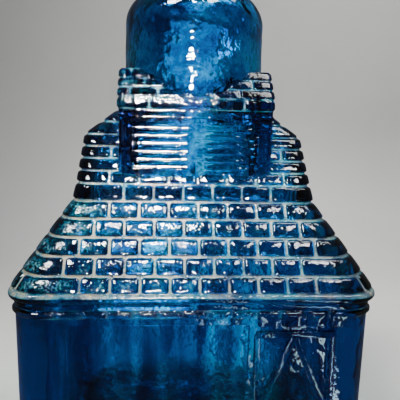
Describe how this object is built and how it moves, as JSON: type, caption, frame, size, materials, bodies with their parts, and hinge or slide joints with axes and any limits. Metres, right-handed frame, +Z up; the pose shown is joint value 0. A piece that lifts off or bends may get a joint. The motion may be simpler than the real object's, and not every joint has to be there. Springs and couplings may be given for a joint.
{
  "type": "figural glass bottle",
  "caption": "House-shaped moulded glass bottle: walls with door and bare panel, coursed shingle roof, louvred tower, round dome shoulder, neck and lift-out cork stopper.",
  "frame": {"origin": "centre of the base's bearing ring, on the surface it stands on", "axes": "+Z up along the neck, front with panel and door towards -Y, door on the +X side"},
  "size_m": [0.107, 0.088, 0.191],
  "materials": {
    "glass": "transparent cobalt blue moulded glass",
    "cork": "natural cork"
  },
  "bodies": {
    "bottle": {"glass_bottle": "glass"},
    "stopper": {"cork_stopper": "cork"}
  },
  "joints": [
    {"name": "stopper_lift", "type": "slide", "parent": "bottle", "child": "stopper", "axis": [0, 0, 1], "range_m": [0, 0.04]}
  ]
}
